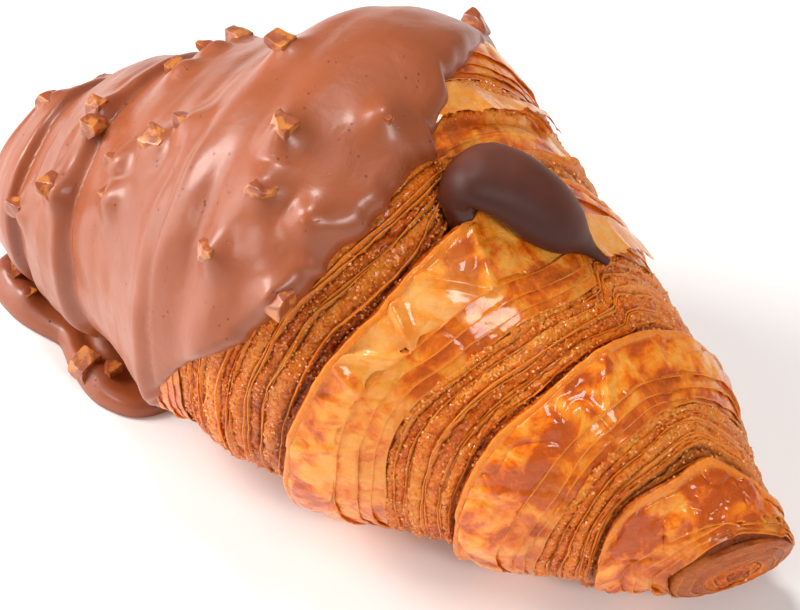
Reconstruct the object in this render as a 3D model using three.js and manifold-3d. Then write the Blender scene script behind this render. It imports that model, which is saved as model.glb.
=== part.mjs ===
// A filled butter croissant, half dipped in milk chocolate with chopped nuts.
//
// Millimetres, +Z up. The pastry lies along X: its dipped end is at -X and its bare end at +X.
// The pastry is one baked piece. The milk chocolate coat with the puddle round its foot, the dark
// filling that wells out of the slit on top, and each chopped nut are pieces of their own.
// The exported group is shifted so that the origin is the middle of the base of the whole object.

import * as THREE from "three";
import { ConvexGeometry } from "three/addons/geometries/ConvexGeometry.js";
import { mergeVertices } from "three/addons/utils/BufferGeometryUtils.js";
import Module from "manifold-3d";

const wasm = await Module();
wasm.setup();

// ---- Driving dimensions ---------------------------------------------------------------------

// The rolled body at stations along X: half width, height, how far its underside is lifted by the
// chocolate below it, and how far its middle line bends to +Y.
const BODY = [
  { x: -69.5, halfWidth: 15.5, height: 26, lift: 2.4, bend: -3 },
  { x: -59, halfWidth: 20.5, height: 35.5, lift: 2.4, bend: -2 },
  { x: -43, halfWidth: 26, height: 46, lift: 2.4, bend: -0.7 },
  { x: -26, halfWidth: 30.5, height: 56.5, lift: 2.4, bend: 0 },
  { x: -13, halfWidth: 36.5, height: 70, lift: 1.6, bend: 0 },
  { x: 0, halfWidth: 37.5, height: 73, lift: 0.6, bend: 0 },
  { x: 13, halfWidth: 35.2, height: 69.5, lift: 0, bend: -0.8 },
  { x: 26, halfWidth: 30, height: 61, lift: 0, bend: 0.2 },
  { x: 42, halfWidth: 25, height: 49, lift: 0.2, bend: 2.2 },
  { x: 57, halfWidth: 19, height: 36, lift: 1.4, bend: 3.2 },
  { x: 65, halfWidth: 15.2, height: 27.5, lift: 2.4, bend: 2.8 },
  { x: 70, halfWidth: 13, height: 22.8, lift: 2.8, bend: 2.6 },
  { x: 76.2, halfWidth: 10.2, height: 18.2, lift: 2.6, bend: 2.6 },
];
const DIPPED_END = BODY[0].x;
const BARE_END = BODY[BODY.length - 1].x;
const END_BULGE = 1.6; // how far each end face stands out past its last station
const CENTRE_SHARE = 0.46; // height of the middle line, as a share of the body's height
const BASE_OVERSHOOT = 1.09; // the underside would reach this far below its base, and is cut flat there
const END_LEAN = 10.8; // how far the bare end's near lower side falls short of its far upper side
const LEAN_FROM = 52;
const LEAN_AWAY = (65 * Math.PI) / 180; // the side that doesn't fall short, as an angle from the top

// The dough is a triangle rolled from its base to its tip, so each long edge winds round the body as
// a helix. turns is counted inwards from an end; x is where that turn crosses the top of the body.
const BARE_TURNS = [
  { turns: 0.3, x: 76.2 },
  { turns: 1, x: 63.5 },
  { turns: 2, x: 45.7 },
  { turns: 3, x: 23 },
  { turns: 4, x: -8 },
];
const DIPPED_TURNS = [
  { turns: 0.3, x: 74 },
  { turns: 1, x: 62 },
  { turns: 2, x: 46 },
  { turns: 3, x: 19.5 },
  { turns: 4, x: -8 },
];
const GROOVE_DEPTH = 2.8; // where one turn of dough meets the next
const TIP_SINK = 2.6; // how much thinner the last turn at each end is than the one before it
const RISE_SHARE = 0.13; // share of a turn over which the skin climbs out of the groove
const SKIN_SHARE = 0.3; // share of a turn that is glazed skin; the rest is the cut edge's layers

// The milk chocolate.
const COAT = 2.3;
const LEAST_COAT = 1.1;
const COAT_FOLLOWS = 0.6; // how much of a groove's depth still shows on the coat above it
const COAT_STOP = 24; // the coat is laid on this far, then cut off along its edge
const GAP = 0.35; // clearance between solids that touch in the real object
// Where the coat stops, going round the body: angle from the top in degrees, + towards +Y.
const COAT_EDGE = [
  { angle: -180, x: -24 },
  { angle: -150, x: -22 },
  { angle: -125, x: -18 },
  { angle: -103, x: -13.4 },
  { angle: -85, x: -4.2 },
  { angle: -72, x: 4 },
  { angle: -62, x: 8.6 },
  { angle: -53, x: 11.8 },
  { angle: -38, x: 13.8 },
  { angle: -24, x: 15 },
  { angle: -14, x: 14.5 },
  { angle: -5, x: 14.6 },
  { angle: 3, x: 12 },
  { angle: 10, x: 10.5 },
  { angle: 16, x: 6.2 },
  { angle: 28, x: 5.2 },
  { angle: 43, x: 2 },
  { angle: 60, x: 0 },
  { angle: 90, x: -5 },
  { angle: 120, x: -13 },
  { angle: 150, x: -20 },
  { angle: 180, x: -24 },
];

// The puddle: its outline round a centre on the floor, angle in degrees from +X towards +Y.
const PUDDLE_CENTRE = { x: -52, y: -1 };
const PUDDLE_OUTLINE = [
  { angle: -180, radius: 25.5 },
  { angle: -163, radius: 27 },
  { angle: -148, radius: 23 },
  { angle: -132, radius: 27 },
  { angle: -112, radius: 25.5 },
  { angle: -86, radius: 23.5 },
  { angle: -72, radius: 28 },
  { angle: -58, radius: 34 },
  { angle: -48, radius: 36 },
  { angle: -36, radius: 34 },
  { angle: -18, radius: 26 },
  { angle: 10, radius: 22 },
  { angle: 40, radius: 27 },
  { angle: 62, radius: 26 },
  { angle: 90, radius: 23 },
  { angle: 118, radius: 25 },
  { angle: 140, radius: 22 },
  { angle: 160, radius: 24 },
  { angle: 180, radius: 25.5 },
];
// The puddle's rounded rim: how far it is drawn in at each height.
const PUDDLE_RIM = [
  { z: 0, inset: 0.6 },
  { z: 0.9, inset: 0 },
  { z: 2.1, inset: 0.7 },
  { z: 3.1, inset: 2.4 },
  { z: 3.5, inset: 5.5 },
];

// The dark filling: middle line from its root inside the slit, over the lip and down to the drip.
// across is the half width sideways and thick the half thickness.
const FILLING = [
  { at: [19.5, -2.5, 52], across: 4, thick: 1.4 },
  { at: [19.3, -2.2, 58], across: 5.5, thick: 2.2 },
  { at: [19.4, -1.6, 64], across: 6.6, thick: 3.2 },
  { at: [21.6, -0.4, 67], across: 7, thick: 4 },
  { at: [25.2, 2, 65.2], across: 7.2, thick: 4.6 },
  { at: [29.2, 4.4, 61.6], across: 6.6, thick: 4.6 },
  { at: [32.6, 6.4, 57.8], across: 5, thick: 3.8 },
  { at: [34.8, 7.8, 55], across: 2.4, thick: 2 },
  { at: [36.4, 8.8, 53.2], across: 1, thick: 1 },
  { at: [38.6, 9.8, 51.2], across: 0.7, thick: 0.7 },
];

// Chopped nuts that were placed where they show most: along X, angle round the body, size.
const PLACED_NUTS = [
  { x: -67, angle: -6, size: 5.6 },
  { x: -41, angle: 30, size: 4.8 },
  { x: -40, angle: 14, size: 4.2 },
  { x: -40, angle: 0, size: 3.6 },
  { x: -48.5, angle: -20, size: 4 },
  { x: -46, angle: -28, size: 4.2 },
  { x: -47.5, angle: -54, size: 4.8 },
  { x: -29, angle: -31, size: 5 },
  { x: -24.5, angle: -25, size: 3.6 },
  { x: -35.5, angle: -39, size: 3.6 },
  { x: 1, angle: -36, size: 5 },
  { x: -1.5, angle: -24, size: 5 },
  { x: -16, angle: -2, size: 4.2 },
  { x: 8.5, angle: -7, size: 3.2 },
  { x: -33, angle: -50, size: 3.4 },
  { x: -3.5, angle: -54, size: 3.2 },
  { x: 9, angle: -35, size: 3.4 },
  { x: 10, angle: -53, size: 4.2 },
  { x: -57, angle: -68, size: 3.8 },
];
// The rest are scattered over the far side, each SCATTER_TURN degrees on from the last, within
// SCATTER_SPAN degrees.
const SCATTERED_NUTS = 19;
const SCATTER_TURN = 47;
const SCATTER_SPAN = 72;
const SCATTER_FROM = { x: -69, angle: 50 };
const SCATTER_STEP = 3.7;
const SCATTER_SIZES = [4.4, 3.6, 4.9, 3.9, 3.3];
// Nuts in the puddle: on the floor plan, with the height of their middle.
const PUDDLE_NUTS = [
  { x: -76.4, y: -7.5, z: 3, size: 3.8 },
  { x: -66, y: -18.6, z: 3.2, size: 4.6 },
  { x: -60, y: -21, z: 3, size: 3.6 },
  { x: -41, y: -27, z: 3.4, size: 4.8 },
  { x: -36.5, y: -25, z: 3.2, size: 3.6 },
  { x: -45, y: 21.5, z: 3.2, size: 4.2 },
];
const NUT_RISE = 0.14; // how far a nut's middle stands above the chocolate, as a share of its size
const NUT_CORNERS = 13;

// How finely the curved faces are cut into flat ones.
const RING_STEP = 2.6;
const COLUMNS = 32;
const EDGE_COLUMNS = 60;
const PUDDLE_COLUMNS = 44;
const FILLING_COLUMNS = 14;
const FAR = 90; // past every face, for the solid that trims the coat
const TRIM_RADII = [6, 18, 23, 29, 36, 44, 54, FAR];

// ---- Curves from the tables -----------------------------------------------------------------

// The value of rows' field at key = at, on a smooth curve through the rows that never overshoots.
function smooth(rows, key, field, at) {
  const last = rows.length - 1;
  if (at <= rows[0][key]) return rows[0][field];
  if (at >= rows[last][key]) return rows[last][field];
  const i = rows.findIndex((row) => row[key] > at) - 1;
  const slope = (k) => (rows[k + 1][field] - rows[k][field]) / (rows[k + 1][key] - rows[k][key]);
  const tangent = (k) => {
    if (k === 0 || k === last) return k === 0 ? slope(0) : slope(last - 1);
    const [before, after] = [slope(k - 1), slope(k)];
    return before * after <= 0 ? 0 : (2 * before * after) / (before + after);
  };
  const width = rows[i + 1][key] - rows[i][key];
  const t = (at - rows[i][key]) / width;
  return (
    rows[i][field] * (1 + 2 * t) * (1 - t) ** 2 +
    rows[i + 1][field] * t * t * (3 - 2 * t) +
    width * t * (1 - t) * (tangent(i) * (1 - t) - tangent(i + 1) * t)
  );
}

const ease = (t) => {
  const s = Math.min(1, Math.max(0, t));
  return s * s * (3 - 2 * s);
};

// Turns of dough counted inwards from the end on x's side, at that place on the body.
function turnsAt(x, angle) {
  const rows = x > 0 ? BARE_TURNS : DIPPED_TURNS;
  const outwards = rows.map((row) => ({ key: -row.x, turns: row.turns }));
  return smooth(outwards, "key", "turns", -Math.abs(x)) + angle / (2 * Math.PI);
}

// How far the surface lies under the body's envelope: skin, then layers falling into the groove.
function relief(x, angle) {
  const turns = turnsAt(x, angle);
  const share = 1 - (((turns % 1) + 1) % 1);
  const depth = GROOVE_DEPTH * ease(Math.abs(x) / 14); // the widest turn covers the middle, with no groove
  const sink = TIP_SINK * ease((1 - turns) / RISE_SHARE);
  if (share < RISE_SHARE) return -depth * (1 - 0.8 * ease(share / RISE_SHARE)) - sink;
  if (share < SKIN_SHARE) {
    return -0.2 * depth * (1 - ease((share - RISE_SHARE) / (SKIN_SHARE - RISE_SHARE))) - sink;
  }
  return -depth * ((share - SKIN_SHARE) / (1 - SKIN_SHARE)) ** 1.7 - sink;
}

// ---- Surfaces -------------------------------------------------------------------------------

// A point on the body, grow mm outside its envelope. Its underside is cut flat at z = base.
function onBody(x, angle, grow, base) {
  const halfWidth = smooth(BODY, "x", "halfWidth", x) + grow;
  const height = smooth(BODY, "x", "height", x);
  const lift = smooth(BODY, "x", "lift", x);
  const middle = CENTRE_SHARE * height;
  const [s, c] = [Math.sin(angle), Math.cos(angle)];
  const up = (height - middle + grow) * Math.max(c, 0);
  const down = (BASE_OVERSHOOT * middle + grow) * Math.max(-c, 0) ** 0.8;
  const y = smooth(BODY, "x", "bend", x) + halfWidth * Math.sign(s) * Math.abs(s) ** 0.97;
  const near = 0.5 - 0.5 * Math.cos(angle - LEAN_AWAY);
  const lean = END_LEAN * near * ease((x - LEAN_FROM) / (BARE_END - LEAN_FROM));
  return new THREE.Vector3(x - lean, y, Math.max(lift + middle + up - down, base));
}

const pastryPoint = (x, angle, grow = 0) =>
  onBody(x, angle, relief(x, angle) + grow, smooth(BODY, "x", "lift", x) - grow);

// The coat evens out the grooves that it fills.
function coatPoint(x, angle, grow = 0) {
  const under = relief(x, angle);
  return onBody(x, angle, Math.max(under + LEAST_COAT, COAT_FOLLOWS * under + COAT) + grow, 0);
}

// A closed surface through rings of points, closed at each end by a fan to a middle point. Each
// ring runs anticlockwise as seen from the last ring's side.
function loft(rings, first, last) {
  const columns = rings[0].length;
  const points = [first, ...rings.flat(), last];
  const at = (ring, column) => 1 + ring * columns + (column % columns);
  const faces = [];
  for (let column = 0; column < columns; column++) {
    faces.push(0, at(0, column + 1), at(0, column));
    faces.push(points.length - 1, at(rings.length - 1, column), at(rings.length - 1, column + 1));
    for (let ring = 0; ring + 1 < rings.length; ring++) {
      const [a, b] = [at(ring, column), at(ring, column + 1)];
      const [c, d] = [at(ring + 1, column), at(ring + 1, column + 1)];
      faces.push(a, b, c, b, d, c);
    }
  }
  const geometry = new THREE.BufferGeometry().setFromPoints(points);
  geometry.setIndex(faces);
  return geometry;
}

const angles = (columns) => Array.from({ length: columns }, (_, i) => -Math.PI + (2 * Math.PI * i) / columns);

const middleOf = (ring) =>
  ring.reduce((sum, point) => sum.add(point), new THREE.Vector3()).divideScalar(ring.length);

// A ring drawn in towards its middle and moved along X, for the rounded end faces.
function drawnIn(ring, share, along) {
  const middle = middleOf(ring);
  return ring.map((point) => point.clone().lerp(middle, 1 - share).setX(point.x + along));
}

// The body's skin from the dipped end to x = stop, with both ends rounded and out mm proud.
function bodySolid(pointAt, grow, stop, out) {
  const count = Math.round((BARE_END - DIPPED_END) / RING_STEP);
  const step = (BARE_END - DIPPED_END) / count;
  const stations = Array.from({ length: count + 1 }, (_, i) => DIPPED_END + i * step);
  const body = stations.filter((x) => x <= stop).map((x) => angles(COLUMNS).map((a) => pointAt(x, a, grow)));
  const [start, end] = [body[0], body[body.length - 1]];
  const rings = [
    drawnIn(start, 0.5, -out),
    drawnIn(start, 0.87, -0.6 * out),
    ...body,
    drawnIn(end, 0.87, 0.6 * out),
    drawnIn(end, 0.5, out),
  ];
  rings.reverse();
  return loft(rings, middleOf(rings[0]), middleOf(rings[rings.length - 1]));
}

// Everything past the coat's edge: a drum whose near face follows the edge round the body.
function trimSolid() {
  const height = smooth(BODY, "x", "height", 0);
  const ringAt = (radius, xOf) =>
    angles(EDGE_COLUMNS).map((a) => {
      const x = xOf(THREE.MathUtils.radToDeg(a));
      return new THREE.Vector3(x, radius * Math.sin(a), CENTRE_SHARE * height + radius * Math.cos(a));
    });
  const edge = (degrees) => smooth(COAT_EDGE, "angle", "x", degrees);
  const nearFace = TRIM_RADII.map((radius) => ringAt(radius, edge)).reverse();
  const rings = [ringAt(TRIM_RADII[0], () => FAR), ringAt(FAR, () => FAR), ...nearFace];
  return loft(rings, middleOf(rings[0]), middleOf(rings[rings.length - 1]));
}

function puddleSolid() {
  const rings = PUDDLE_RIM.map(({ z, inset }) =>
    angles(PUDDLE_COLUMNS).map((a) => {
      const radius = smooth(PUDDLE_OUTLINE, "angle", "radius", THREE.MathUtils.radToDeg(a)) - inset;
      const [x, y] = [radius * Math.cos(a), radius * Math.sin(a)];
      return new THREE.Vector3(PUDDLE_CENTRE.x + x, PUDDLE_CENTRE.y + y, z);
    }),
  );
  return loft(rings, middleOf(rings[0]), middleOf(rings[rings.length - 1]));
}

// The filling, as flat oval sections square to its middle line.
function fillingSolid(grow) {
  const line = FILLING.map((row) => new THREE.Vector3(...row.at));
  const sideways = new THREE.Vector3(-0.35, 1, 0).normalize();
  const rings = FILLING.map((row, i) => {
    const along = line[Math.min(i + 1, line.length - 1)].clone().sub(line[Math.max(i - 1, 0)]);
    const across = sideways.clone().projectOnPlane(along.normalize()).normalize();
    const out = across.clone().cross(along);
    return angles(FILLING_COLUMNS).map((a) =>
      line[i]
        .clone()
        .addScaledVector(across, (row.across + grow) * Math.sin(a))
        .addScaledVector(out, (row.thick + grow) * Math.cos(a)),
    );
  });
  const ends = [line[0].clone(), line[line.length - 1].clone()];
  ends[0].z -= 1 + grow;
  ends[1].add(new THREE.Vector3(0.6 + grow, 0.1, -0.5 - grow));
  return loft(rings, ends[0], ends[1]);
}

// A chopped nut: the hull of points spread evenly over an uneven lump, turned by its number.
function nutGeometry(number, size) {
  const golden = Math.PI * (3 - Math.sqrt(5));
  const points = Array.from({ length: NUT_CORNERS }, (_, i) => {
    const z = 1 - (2 * i + 1) / NUT_CORNERS;
    const around = golden * i + number;
    const flat = Math.sqrt(1 - z * z);
    const radius = (size / 2) * (1.02 + 0.2 * Math.sin(2.7 * i + 1.9 * number));
    const point = new THREE.Vector3(flat * Math.cos(around), 0.85 * flat * Math.sin(around), 0.8 * z);
    return point.multiplyScalar(radius);
  });
  return new ConvexGeometry(points).rotateX(0.9 * number).rotateY(1.7 * number);
}

// ---- Solids ---------------------------------------------------------------------------------

function solid(geometry) {
  const bare = geometry.clone();
  bare.deleteAttribute("normal");
  bare.deleteAttribute("uv");
  const merged = mergeVertices(bare, 1e-4);
  return new wasm.Manifold(
    new wasm.Mesh({
      numProp: 3,
      vertProperties: new Float32Array(merged.attributes.position.array),
      triVerts: new Uint32Array(merged.index.array),
    }),
  );
}

function geometryOf(manifold) {
  const { vertProperties, triVerts } = manifold.getMesh();
  const geometry = new THREE.BufferGeometry();
  geometry.setAttribute("position", new THREE.BufferAttribute(vertProperties, 3));
  geometry.setIndex(new THREE.BufferAttribute(triVerts, 1));
  geometry.computeVertexNormals();
  return geometry;
}

// The places of all nuts: a point in the chocolate's skin, lifted out by part of the nut's size.
function nutPlaces() {
  const onCoat = ({ x, angle, size }) => {
    const a = THREE.MathUtils.degToRad(angle);
    return { at: coatPoint(x, a, NUT_RISE * size), size };
  };
  const scattered = Array.from({ length: SCATTERED_NUTS }, (_, i) => ({
    x: SCATTER_FROM.x + i * SCATTER_STEP,
    angle: SCATTER_FROM.angle + ((i * SCATTER_TURN) % SCATTER_SPAN),
    size: SCATTER_SIZES[i % SCATTER_SIZES.length],
  })).filter(({ x, angle }) => x < smooth(COAT_EDGE, "angle", "x", angle) - 4);
  const inPuddle = PUDDLE_NUTS.map(({ x, y, z, size }) => ({ at: new THREE.Vector3(x, y, z), size }));
  return [...PLACED_NUTS.map(onCoat), ...scattered.map(onCoat), ...inPuddle];
}

const material = (color, roughness) => new THREE.MeshStandardMaterial({ color, roughness, metalness: 0 });
const bakedPastry = material(0xcf7a2c, 0.5);
const milkChocolate = material(0xbd7a5a, 0.32);
const darkChocolate = material(0x3b130c, 0.22);
const coatedNut = material(0xb8692f, 0.35);

function mesh(name, geometry, finish) {
  const made = new THREE.Mesh(geometry, finish);
  made.name = name;
  return made;
}

function croissant() {
  const group = new THREE.Group();
  const filling = solid(fillingSolid(0));
  const pastry = solid(bodySolid(pastryPoint, 0, BARE_END, END_BULGE)).subtract(solid(fillingSolid(GAP)));
  let coat = solid(bodySolid(coatPoint, 0, COAT_STOP, END_BULGE + COAT))
    .subtract(solid(trimSolid()))
    .add(solid(puddleSolid()))
    .subtract(solid(bodySolid(pastryPoint, GAP, BARE_END, END_BULGE + GAP)));

  nutPlaces().forEach(({ at, size }, i) => {
    const shape = nutGeometry(i + 1, size);
    const room = 1 + (2 * GAP) / (0.8 * size);
    const grown = shape.clone().scale(room, room, room).translate(at.x, at.y, at.z);
    coat = coat.subtract(solid(grown));
    const nut = mesh(`nut_piece_${String(i + 1).padStart(2, "0")}`, shape, coatedNut);
    nut.position.copy(at);
    group.add(nut);
  });

  group.add(mesh("pastry", geometryOf(pastry), bakedPastry));
  group.add(mesh("milk_chocolate_coat", geometryOf(coat), milkChocolate));
  group.add(mesh("dark_chocolate_filling", geometryOf(filling), darkChocolate));

  // The origin is the middle of the base of the whole object.
  const box = new THREE.Box3().setFromObject(group);
  const middle = box.getCenter(new THREE.Vector3());
  group.position.set(-middle.x, -middle.y, -box.min.z);
  return group;
}

export default croissant();
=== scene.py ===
"""A filled butter croissant, half dipped in milk chocolate with chopped nuts.

Lengths in the tables are millimetres in the baker's own frame: X runs along the pastry towards its
bare end, Y across it, Z up from the board. PLACE carries them into the model's frame, in metres.
"""

import math

import bmesh
import bpy
import numpy as np
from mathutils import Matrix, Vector


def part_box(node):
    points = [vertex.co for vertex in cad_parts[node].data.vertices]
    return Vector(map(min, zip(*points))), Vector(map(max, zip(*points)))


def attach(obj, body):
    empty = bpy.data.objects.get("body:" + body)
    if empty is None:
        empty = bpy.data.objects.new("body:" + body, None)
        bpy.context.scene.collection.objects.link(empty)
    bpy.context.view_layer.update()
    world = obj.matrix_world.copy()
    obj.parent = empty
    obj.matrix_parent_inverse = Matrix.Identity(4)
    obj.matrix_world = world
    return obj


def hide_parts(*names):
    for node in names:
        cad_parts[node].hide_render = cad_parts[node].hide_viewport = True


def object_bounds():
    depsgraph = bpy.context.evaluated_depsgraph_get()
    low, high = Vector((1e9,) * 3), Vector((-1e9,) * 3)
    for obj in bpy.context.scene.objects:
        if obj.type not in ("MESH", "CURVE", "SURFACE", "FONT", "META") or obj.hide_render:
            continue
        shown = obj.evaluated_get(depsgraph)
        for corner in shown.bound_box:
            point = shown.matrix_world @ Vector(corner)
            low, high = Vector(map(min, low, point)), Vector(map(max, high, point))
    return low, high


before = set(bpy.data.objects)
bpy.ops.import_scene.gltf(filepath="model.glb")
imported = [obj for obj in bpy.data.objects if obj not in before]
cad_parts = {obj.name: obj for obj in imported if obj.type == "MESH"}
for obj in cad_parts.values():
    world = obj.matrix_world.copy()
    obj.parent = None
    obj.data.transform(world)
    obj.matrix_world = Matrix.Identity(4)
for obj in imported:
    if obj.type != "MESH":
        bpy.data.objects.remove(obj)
cad_box = [list(corner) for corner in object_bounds()]

# ---- Measures ---------------------------------------------------------------------------------

MM = 0.001
DIPPED_END = -69.5
BARE_END = 76.2
END_BULGE = 1.6

pastry_low, pastry_high = (np.array(corner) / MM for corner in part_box("pastry"))
PLACE = np.array([pastry_low[0] - (DIPPED_END - END_BULGE), (pastry_low[1] + pastry_high[1]) / 2, 0.0])

# x, half width, height, lift of the underside, bend of the middle line towards +Y.
BODY = [
    (-69.5, 15.5, 26.0, 2.4, -3.0),
    (-59, 20.5, 35.5, 2.4, -2.0),
    (-43, 26.0, 46.0, 2.4, -0.7),
    (-26, 30.5, 56.5, 2.4, 0.0),
    (-13, 36.5, 70.0, 1.6, 0.0),
    (0, 37.5, 73.0, 0.6, 0.0),
    (13, 35.2, 69.5, 0.0, -0.8),
    (26, 30.0, 61.0, 0.0, 0.2),
    (42, 25.0, 49.0, 0.2, 2.2),
    (57, 19.0, 36.0, 1.4, 3.2),
    (65, 15.2, 27.5, 2.4, 2.8),
    (70, 13.0, 22.8, 2.8, 2.6),
    (76.2, 10.2, 18.2, 2.6, 2.6),
]
HALF_WIDTH, HEIGHT, LIFT, BEND = 1, 2, 3, 4
CENTRE_SHARE = 0.46
BASE_OVERSHOOT = 1.09
END_LEAN = 10.8
LEAN_FROM = 52.0
LEAN_AWAY = math.radians(65)

# Turns of dough counted inwards from an end, and how far from the middle each one crosses the top.
BARE_TURNS = [(0.3, 76.2), (1, 63.5), (2, 45.7), (3, 23), (4, -8), (5, -34), (6, -60)]
DIPPED_TURNS = [(0.3, 74), (1, 62), (2, 46), (3, 19.5), (4, -8)]
TIP_TURN = 0.3
TIP_SINK = 2.6

# Where the chocolate coat stops, round the body: degrees from the top, + towards +Y.
COAT_EDGE = [
    (-180, -24), (-150, -22), (-125, -18), (-103, -13.4), (-85, -4.2), (-72, 4), (-62, 8.6), (-53, 11.8),
    (-38, 13.8), (-24, 15), (-14, 14.5), (-5, 14.6), (3, 12), (10, 10.5), (16, 6.2), (28, 5.2), (43, 2),
    (60, 0), (90, -5), (120, -13), (150, -20), (180, -24),
]
COAT = 2.3  # its thickness
NO_FLOOR = -99.0


def smooth_through(table, column, at, key=0):
    """A curve through one column of a table that bends softly and never overshoots."""
    rows = sorted(table, key=lambda row: row[key])
    keys = np.array([row[key] for row in rows], float)
    values = np.array([row[column] for row in rows], float)
    slope = np.diff(values) / np.diff(keys)
    tangent = np.empty_like(values)
    tangent[0], tangent[-1] = slope[0], slope[-1]
    product = slope[:-1] * slope[1:]
    total = np.where(product > 0, slope[:-1] + slope[1:], 1.0)
    tangent[1:-1] = np.where(product > 0, 2 * product / total, 0.0)
    at = np.clip(at, keys[0], keys[-1])
    i = np.clip(np.searchsorted(keys, at, side="right") - 1, 0, len(keys) - 2)
    width = keys[i + 1] - keys[i]
    t = (at - keys[i]) / width
    ends = values[i] * (1 + 2 * t) * (1 - t) ** 2 + values[i + 1] * t * t * (3 - 2 * t)
    return ends + width * t * (1 - t) * (tangent[i] * (1 - t) - tangent[i + 1] * t)


def ease(t):
    t = np.clip(t, 0, 1)
    return t * t * (3 - 2 * t)


def hump(at, middle, width):
    """A soft bump: 1 at the middle and 0 well past the width."""
    return np.exp(-(((at - middle) / width) ** 2))


def grain(points, size, seed=0):
    """Smooth random values from -1 to 1, one for each point, in blobs of the given size."""
    p = np.asarray(points, float) / size + seed * 17.31
    cell = np.floor(p)
    part = p - cell
    part = part * part * (3 - 2 * part)
    cell = cell.astype(np.int64)
    total = np.zeros(p.shape[:-1])
    for corner in range(8):
        step = np.array([corner & 1, corner >> 1 & 1, corner >> 2])
        c = cell + step
        h = (c[..., 0] * 73856093) ^ (c[..., 1] * 19349663) ^ (c[..., 2] * 83492791)
        h = ((h ^ (h >> 13)) * 1274126177) & 0x7FFFFFFF
        value = ((h ^ (h >> 15)) & 0xFFFF) / 32767.5 - 1
        total += value * np.prod(np.where(step, part, 1 - part), axis=-1)
    return total


def x_of_turn(turn):
    return smooth_through(BARE_TURNS, 1, turn)


def on_body(x, angle, out, floor):
    """Points on the rolled body, out mm outside its envelope, with the underside cut flat at floor."""
    half_width = smooth_through(BODY, HALF_WIDTH, x) + out
    height = smooth_through(BODY, HEIGHT, x)
    middle = CENTRE_SHARE * height
    s, c = np.sin(angle), np.cos(angle)
    up = (height - middle + out) * np.maximum(c, 0)
    down = (BASE_OVERSHOOT * middle + out) * np.maximum(-c, 0) ** 0.8
    y = smooth_through(BODY, BEND, x) + half_width * np.sign(s) * np.abs(s) ** 0.97
    z = np.maximum(smooth_through(BODY, LIFT, x) + middle + up - down, floor)
    lean = END_LEAN * ease((x - LEAN_FROM) / (BARE_END - LEAN_FROM)) * (1 - np.cos(angle - LEAN_AWAY)) / 2
    return np.stack([x - lean + 0 * y, y, z], axis=-1)


def coat_edge(angle):
    """Where the coat ends, with its tongues and bays."""
    edge = smooth_through(COAT_EDGE, 1, np.degrees(angle))
    around = np.stack([np.cos(angle) * 30, np.sin(angle) * 30, 0 * angle], axis=-1)
    tongues = np.maximum(grain(around, 3.2, 43), 0) ** 2 * 4.5 - 0.5
    return edge + 0.9 * grain(around, 7, 41) + 0.45 * grain(around, 1.6, 42) + tongues


# ---- Making meshes ----------------------------------------------------------------------------

MERGE = 0.00002


def make_mesh(name, points, faces, marks=None):
    """A smooth-shaded object in the model's frame, from baker's-frame points, a face list and its marks.

    Points that stray past the box round all the solids are brought back to it.
    """
    mesh = bpy.data.meshes.new(name)
    placed = np.clip((np.asarray(points) + PLACE) * MM, *np.array(cad_box))
    mesh.from_pydata([tuple(point) for point in placed], [], faces)
    for mark, values in (marks or {}).items():
        layer = mesh.attributes.new(mark, "FLOAT", "POINT")
        layer.data.foreach_set("value", np.asarray(values, np.float32).ravel())
    mesh.polygons.foreach_set("use_smooth", [True] * len(mesh.polygons))
    mesh.update()
    piece = bpy.data.objects.new(name, mesh)
    bpy.context.scene.collection.objects.link(piece)
    return piece


def tidy(piece):
    """Joins doubled points and turns every face outwards."""
    bm = bmesh.new()
    bm.from_mesh(piece.data)
    bmesh.ops.remove_doubles(bm, verts=bm.verts, dist=MERGE)
    bmesh.ops.dissolve_degenerate(bm, edges=bm.edges, dist=MERGE / 2)
    bmesh.ops.recalc_face_normals(bm, faces=bm.faces)
    bm.to_mesh(piece.data)
    bm.free()
    piece.data.polygons.foreach_set("use_smooth", [True] * len(piece.data.polygons))
    return piece


def tube_faces(rows, columns):
    """Quads between rows of points whose columns close on themselves, with both ends capped."""
    r = np.arange(rows - 1)[:, None] * columns
    c = np.arange(columns)[None, :]
    over = (c + 1) % columns
    quads = np.stack([r + c, r + over, r + columns + over, r + columns + c], axis=-1)
    faces = quads.reshape(-1, 4).tolist()
    faces.append(list(range(columns))[::-1])
    faces.append(list(range((rows - 1) * columns, rows * columns)))
    return faces


def hand_over(piece, node, material):
    """Gives a finished piece its material, hangs it under the root body and hides the solid that it stands
    for.
    """
    piece.data.materials.clear()
    piece.data.materials.append(material)
    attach(piece, "root")
    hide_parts(node)
    return piece


# ---- The rolled dough -------------------------------------------------------------------------
# Each turn is a strip that winds round the body. Its cross-section starts under the turn before it,
# rises through a frothy cut edge to a rolled rim, runs on as glazed skin to a crisp lip, and then
# steps down through thin sheets and crumbly layers to the next turn.

SKIN_SHARE = 0.30
SHEET_LIPS = ((0.0, 0.05), (0.055, -0.55), (0.10, -0.9), (0.135, -1.2))  # past the skin: share, mm up
SHEET_SPREAD = {1: 4.6, 2: 1.5, 3: 1.7, 4: 1, 5: 1}  # how far the sheets of each turn fan out
LAYER_PAIRS = {1: 0, 2: 5, 3: 6, 4: 8, 5: 4}  # frothy ropes of cut dough on each turn, with their fins
LAYER_DROP = 2.2  # how much lower the last rope lies than the first
ROOT_DEPTH = 7.5  # how deep a strip goes in under its neighbours
COLUMNS_PER_TURN = {1: 420, 2: 460, 3: 440, 4: 400, 5: 240}
DOUGH_FROM = -45  # the dough runs on under the coat as far as this x
NARROWEST_TURN = 11.0
SHEETS_APART = np.array([31.7, 11.3, 7.9])  # so that no two sheets have the same grain

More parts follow.
